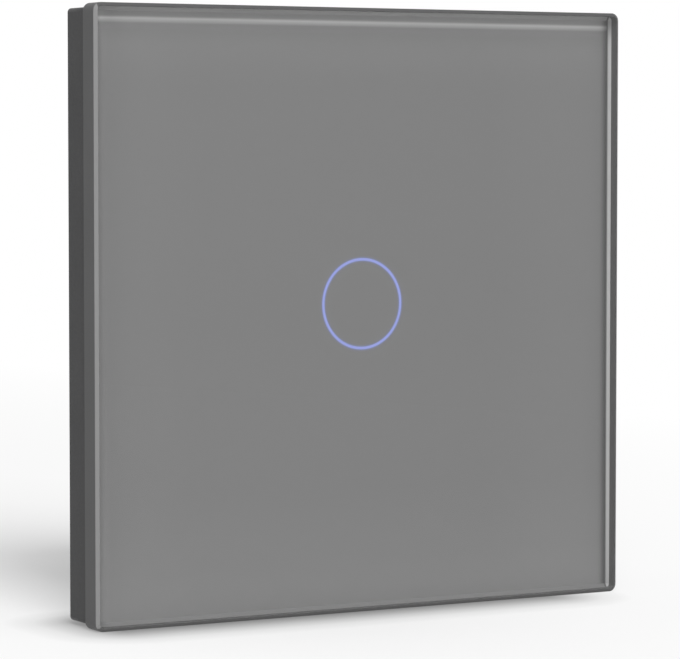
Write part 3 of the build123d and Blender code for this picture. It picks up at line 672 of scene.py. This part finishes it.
def wire_along(name, path, radius, sides=10):
    """A round wire along a path: at each point a circle stands square to the path, its two
    axes being the path's cross product with Y and that product's with the path."""
    path = np.asarray(path, float)
    along = np.gradient(path, axis=0)
    along /= np.linalg.norm(along, axis=1)[:, None]
    out = np.cross(along, (0, 1, 0))
    out /= np.linalg.norm(out, axis=1)[:, None]
    up = np.cross(out, along)
    turn = (np.arange(sides) * 2 * pi / sides)[None, :, None]
    grid = path[:, None] + radius * (np.cos(turn) * out[:, None] + np.sin(turn) * up[:, None])
    return rounded_shade(outward(surface(name, grid, closed_round=True, caps=True)))


def spring_path(coil_radius, front, rear, turns, eye_turns=3):
    """A flat spiral on the front, from eye_share of the radius, that runs out into a helix back
    to the board: the angle grows evenly along both."""
    eye_share = 0.16
    eye_steps = 40
    helix_steps = 48
    flat = np.linspace(0, 1, eye_steps * eye_turns)
    climb = np.linspace(0, 1, helix_steps * turns)[1:]
    angle = np.concatenate([flat * eye_turns, eye_turns + climb * turns]) * 2 * pi
    swelling = coil_radius * (eye_share + (1 - eye_share) * flat)
    radius = np.concatenate([swelling, np.full(len(climb), coil_radius)])
    y = np.concatenate([np.full(len(flat), front), front + (rear - front) * climb])
    x = ring_middle[0] + radius * np.cos(angle)
    z = ring_middle[1] + radius * np.sin(angle)
    return np.stack([x, y, z], axis=1)


spring_radius = 3.05 * mm
spring_front = -5.25 * mm
spring_rear = -1.95 * mm
spring_turns = 4
spring_wire = 0.33 * mm
spring_route = spring_path(spring_radius, spring_front, spring_rear, spring_turns)
electrode = wire_along("touch_coil", spring_route, spring_wire)
electrode.data.materials.append(plated("tinned_wire", (0.74, 0.74, 0.72), 0.22, (1, 1, 1), 0.2 * mm))
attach(electrode, "switch_body")
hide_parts("touch_spring")

# Module cover
# Flat black lid of the module, snapped into the housing by four arms, flush with the base plate.

soften("module_cover", moulded("cover_grain", (0.04, 0.04, 0.042), 0.48, 0.3 * mm, 0.01 * mm), 0.12 * mm)

# Support bracket
# Zinc-plated steel sheet, stamped; it is screwed to the wall box through its four slots.

zinc = plated("zinc_sheet", (0.63, 0.65, 0.67), 0.34, (5, 1, 1), 0.35 * mm, 0.0012 * mm, 0.12)
soften("support_bracket", zinc, 0.1 * mm)

# Base plate
# Dark grey moulded plate that lies on the wall and shows as a narrow step round the panel. Four
# countersunk plated screws hold it and the module to the bracket.

base_grey = moulded("base_grain", (0.053, 0.053, 0.054), 0.5, 0.22 * mm, 0.006 * mm, 0.05, 0.12)
soften("base_plate", base_grey, 0.12 * mm)
soften("frame_screws", plated("plated_screw", (0.64, 0.64, 0.62), 0.25, (1, 1, 1), 0.2 * mm), 0.05 * mm)

# Panel carrier and tape
# Black moulded plate with four split pegs that push into the base plate; a frame of white
# double-sided tape bonds it to the back of the panel's tray.

carrier_black = moulded("carrier_grain", (0.035, 0.035, 0.036), 0.5, 0.3 * mm, 0.01 * mm)
soften("panel_carrier", carrier_black, 0.12 * mm)
dress("carrier_tape", moulded("white_tape", (0.72, 0.72, 0.7), 0.55, 0.12 * mm, 0.01 * mm, 0.04, 0.2))

# Panel tray
# Thin drawn sheet under a dark grey semi-matt paint; its lip stands level with the glass and is
# chamfered all round.

lip_outside = -39.5 * mm
lip_rear = -8.62 * mm
tray_grey = moulded("tray_paint", (0.088, 0.088, 0.089), 0.45, 0.16 * mm, 0.002 * mm, 0.03, 0.12)


def lip_painted_light(axis):
    """A mask for the chamfer of the tray's left lip (axis 0) or lower lip (axis 2), where lighter grey
    is painted in place of light.
    """
    def mask_at(tree, place):
        """1 outside lip_outside and in front of lip_rear."""
        outer = where(tree, place, axis, lip_outside, above=False)
        return both(tree, outer, where(tree, place, 1, lip_rear, above=False))
    return mask_at


# Painted light on the lip chamfers: a painted highlight on the left lip and painted bounced light on the
# lower lip.
over(tray_grey, lip_painted_light(0), (0.24, 0.24, 0.24), rough=0.35, metal=0.0)
over(tray_grey, lip_painted_light(2), (0.11, 0.11, 0.11), rough=0.45, metal=0.0)
dress("panel_tray", tray_grey)

# Adhesive bead and the glass's ground edge
# Clear adhesive fills the ground bevel behind the glass's edge. The ground edge itself is dark
# where it stands against the tray's wall.

skin = 0.012 * mm
glass_half = 39.55 * mm
glass_corner = 0.6 * mm
glass_front = -9.0 * mm
print_front = -6.1 * mm
tray_front = -6.0 * mm
bead_width = 0.5 * mm
bead_front = print_front - 0.65 * mm
bead_rise = 0.01 * mm
bead_fall = 0.05 * mm


def square_line(half, corner, arc_steps=8, side_steps=24):
    """Points round a square with rounded corners, seen from the front: each corner is an arc
    of equal steps and each side a row of equal steps, one quarter turned four times."""
    arc = np.linspace(0, pi / 2, arc_steps + 1)
    side = np.linspace(-(half - corner), half - corner, side_steps + 1)[1:-1]
    x = np.concatenate([np.full(len(side), half), half - corner + corner * np.cos(arc)])
    z = np.concatenate([side, half - corner + corner * np.sin(arc)])
    quarter = [(x, z), (-z, x), (-x, -z), (z, -x)]
    return np.concatenate([np.stack(pair, axis=1) for pair in quarter])


def square_band(name, half, corner, profile):
    """A closed profile of (inset, y) points carried round the rounded square."""
    rows = []
    for inset, y in profile:
        line = square_line(half - inset, corner - inset)
        rows.append(np.stack([line[:, 0], np.full(len(line), y), line[:, 1]], axis=1))
    return outward(surface(name, np.array(rows), closed_round=True, closed_along=True))


bead_profile = [
    (skin, bead_front - bead_rise), (bead_width + skin, print_front - skin),
    (bead_width, tray_front), (0.0, tray_front), (0.0, bead_front + bead_fall),
]
bead = square_band("adhesive_bead", glass_half, glass_corner, bead_profile)


def bead_with_painted_light():
    """Cured adhesive with painted light and shade: painted shade below, painted light along the
    top, and on the right side painted shade with a painted highlight line where that side meets the
    tray's wall."""
    finish = moulded("cured_adhesive", (0.16, 0.16, 0.16), 0.4, 0.5 * mm, 0.004 * mm, 0.04)
    # Painted light and shade by side: axis, level, above and soft of the mask, and its grey.
    for axis, level, above, soft, grey in (
        (2, -38.9 * mm, False, 0.15 * mm, 0.18), (2, 38.9 * mm, True, 0.15 * mm, 0.26),
        (0, 38.9 * mm, True, 0.02 * mm, 0.09), (0, 39.15 * mm, True, 0.06 * mm, 0.41),
    ):
        side = (axis, level, above, soft)
        over(finish, lambda tree, place: where(tree, place, *side), (grey, grey, grey), 0.4, 0.0)
    return finish


bead.data.materials.append(bead_with_painted_light())
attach(bead, "glass_panel")
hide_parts("glass_bead")

edge_front = glass_front + 0.02 * mm
edge_profile = [(skin, edge_front), (skin, bead_front), (2 * skin, bead_front), (2 * skin, edge_front)]
edge_coat = square_band("ground_edge", glass_half, glass_corner, edge_profile)
edge_grey = moulded("ground_edge_shade", (0.09, 0.09, 0.09), 0.5, 0.3 * mm, 0.001 * mm, 0.03)
edge_coat.data.materials.append(edge_grey)
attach(edge_coat, "glass_panel")

# Back print
# Opaque grey coat fired on the back of the glass, with the touch ring left clear. Painted light
# and shade lie on it: a painted light line under the top edge and painted shade along the right edge, in
# place of the light that the glass's edge throws on it, and painted light towards the bottom, top and
# left edges.

ring_radius = 5.9 * mm
ring_half = 0.175 * mm


def print_field(rows=14):
    """The coat between the ring and the panel's edge: each point moves straight from the circle
    to the rounded square along its own angle; front and back faces close at both rims."""
    outer = square_line(glass_half - bead_width, glass_corner - bead_width) - ring_middle
    angle = np.arctan2(outer[:, 1], outer[:, 0])
    inner = (ring_radius + ring_half) * np.stack([np.cos(angle), np.sin(angle)], axis=1)
    share = np.linspace(0, 1, rows)[:, None, None]
    flat = inner * (1 - share) + outer * share + np.array(ring_middle)
    faces = []
    for layer, y in ((flat, print_front - skin), (flat[::-1], tray_front)):
        faces.append(np.stack([layer[..., 0], np.full(layer.shape[:2], y), layer[..., 1]], axis=-1))
    return outward(surface("print_field", np.vstack(faces), closed_round=True, closed_along=True))


def times(tree, a, b, scale):
    """The product of two brightnesses and a number."""
    product = tree.nodes.new("ShaderNodeVectorMath")
    product.operation = "MULTIPLY"
    tree.links.new(a, product.inputs[0])
    tree.links.new(b, product.inputs[1])
    sized = tree.nodes.new("ShaderNodeVectorMath")
    sized.operation = "SCALE"
    sized.inputs["Scale"].default_value = scale
    tree.links.new(product.outputs[0], sized.inputs[0])
    return sized.outputs[0]


def turned(name, profile, centre, steps=128, closed=False, caps=False):
    """A profile of (radius, y) points carried round an axis along Y through centre (x, z)."""
    turn = np.arange(steps) * 2 * pi / steps
    radius, y = np.array(profile, float).T
    x = centre[0] + radius[:, None] * np.cos(turn)
    z = centre[1] + radius[:, None] * np.sin(turn)
    grid = np.stack([x, np.repeat(y[:, None], steps, axis=1), z], axis=-1)
    return outward(surface(name, grid, closed_round=True, closed_along=closed, caps=caps))


def print_with_painted_light():
    """Fired grey coat: a faint screen grain, a painted light line under the top edge, painted shade
    along the right edge, painted light towards the bottom, top and left edges, and a painted blue
    glow beside the ring. The levels of a row of stops are kept as shares of its top level, because
    a ramp holds no more than 1, and scaled up again after."""
    grain_size = 0.12 * mm
    grain_swing = 0.003
    glow_blue = (0.03, 0.08, 0.35)
    glow_strength = 0.35
    glow_near = 0.2 * mm
    glow_end = 0.5 * mm
    glow_reach = 0.6 * mm
    finish, tree, shader, place = tree_of("fired_grey")
    split = tree.nodes.new("ShaderNodeSeparateXYZ")
    tree.links.new(place, split.inputs[0])
    upward = shade_by(tree, split.outputs[2], -panel_half, panel_half, upward_painted_light)
    across = shade_by(tree, split.outputs[0], -panel_half, panel_half, across_painted_light)
    grain = noise_of(tree, place, grain_size, 2)
    low, high = (0.5 - grain_swing,) * 3, (0.5 + grain_swing,) * 3
    even = blend_of(tree, low, high, spread_of(tree, grain, 0, 1))
    field = times(tree, times(tree, upward, across, upward_top * across_top), even, 2 * print_grey)
    tree.links.new(field, shader.inputs["Base Color"])
    flat = vector_step(tree, "MULTIPLY", place, (1, 0, 1))
    from_ring = vector_step(tree, "DISTANCE", flat, (ring_middle[0], 0, ring_middle[1]))
    near = shade_by(tree, from_ring, ring_radius - glow_reach, ring_radius + glow_reach, [
        (ring_radius - glow_end, 0.0), (ring_radius - glow_near, 1.0),
        (ring_radius + glow_near, 1.0), (ring_radius + glow_end, 0.0),
    ])
    tree.links.new(blend_of(tree, (0, 0, 0), glow_blue, near), shader.inputs["Emission Color"])
    shader.inputs["Emission Strength"].default_value = glow_strength
    tree.links.new(spread_of(tree, grain, 0.5, 0.6), shader.inputs["Roughness"])
    shader.inputs["Specular IOR Level"].default_value = 0.0
    return finish


print_grey = 0.155
panel_half = 40 * mm
# Painted light and shade on the coat as (place, level) stops: upward along Z and across along X.
upward_top = 5
upward_painted_light = [(at * mm, level / upward_top) for at, level in (
    (-39.0, 1.36), (-38.0, 1.31), (-36.0, 1.23), (-33.0, 1.14), (-24.0, 1.04), (0.0, 0.99),
    (30.0, 0.98), (35.5, 1.06), (36.4, 1.15), (37.2, 1.4), (37.55, 1.55), (37.72, 1.95),
    (37.85, 3.2), (37.95, 4.7), (38.08, 4.4), (38.2, 3.0), (38.35, 2.15), (38.5, 1.88), (39.0, 1.8),
)]
across_top = 4
across_painted_light = [(at * mm, level / across_top) for at, level in (
    (-38.6, 1.2), (-38.2, 1.28), (-37.7, 1.13), (-37.0, 1.04), (-33.0, 1.04), (-25.0, 1.01),
    (20.0, 1.0), (33.0, 1.05), (37.2, 1.07), (37.8, 1.07), (38.2, 0.95), (38.5, 0.72), (38.95, 0.38),
)]
fired = print_with_painted_light()
field = print_field()
inner_rim = ring_radius - ring_half
disc_profile = [(inner_rim, print_front - skin), (inner_rim, tray_front)]
disc = turned("print_disc", disc_profile, ring_middle, caps=True)
for piece in (field, disc):
    piece.data.materials.append(fired)
    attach(piece, "glass_panel")
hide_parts("back_print")

# Ring diffuser
# Milky disc behind the print; its fine rib fills the clear ring in the coat and glows blue.

diffuser_radius = 8.0 * mm
middle_hole = 0.4 * mm
tray_rear = -5.6 * mm
outer_rim = ring_radius + ring_half
rib_front = print_front - 2 * skin
diffuser_profile = [
    (diffuser_radius, tray_rear), (diffuser_radius, tray_front), (outer_rim, tray_front),
    (outer_rim, rib_front), (inner_rim, rib_front), (inner_rim, tray_front),
    (middle_hole, tray_front), (middle_hole, tray_rear),
]
diffuser = turned("milky_ring", diffuser_profile, ring_middle, closed=True)


def milky():
    """Milky plastic with soft clouds, lit blue from behind."""
    lit_blue = (0.36, 0.42, 1.0)
    lit_strength = 0.4
    finish = moulded("milky_blue", (0.1, 0.12, 0.25), 0.5, 0.6 * mm, 0.002 * mm, 0.04)
    shader = finish.node_tree.nodes["Principled BSDF"]
    shader.inputs["Emission Color"].default_value = (*lit_blue, 1)
    shader.inputs["Emission Strength"].default_value = lit_strength
    return finish


diffuser.data.materials.append(milky())
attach(diffuser, "glass_panel")
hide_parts("ring_diffuser")

# Front glass
# Clear float glass, polished, with a finely ground edge; it lies in the tray level with the lip.


def float_glass():
    """Polished clear glass with slow waves in its gloss. Light on its way to or from the coat
    behind passes straight through."""
    wave_size = 14 * mm
    finish, tree, shader, place = tree_of("float_glass")
    shader.inputs["Base Color"].default_value = (1, 1, 1, 1)
    shader.inputs["Transmission Weight"].default_value = 1.0
    shader.inputs["IOR"].default_value = 1.5
    wave = noise_of(tree, place, wave_size, 2)
    tree.links.new(spread_of(tree, wave, 0.0, 0.004), shader.inputs["Roughness"])
    clear = tree.nodes.new("ShaderNodeBsdfTransparent")
    path = tree.nodes.new("ShaderNodeLightPath")
    shown = shader.outputs[0]
    for kind in ("Is Diffuse Ray", "Is Shadow Ray"):
        choose = tree.nodes.new("ShaderNodeMixShader")
        tree.links.new(path.outputs[kind], choose.inputs["Fac"])
        tree.links.new(shown, choose.inputs[1])
        tree.links.new(clear.outputs[0], choose.inputs[2])
        shown = choose.outputs[0]
    tree.links.new(shown, tree.nodes["Material Output"].inputs["Surface"])
    return finish


dress("front_glass", float_glass())
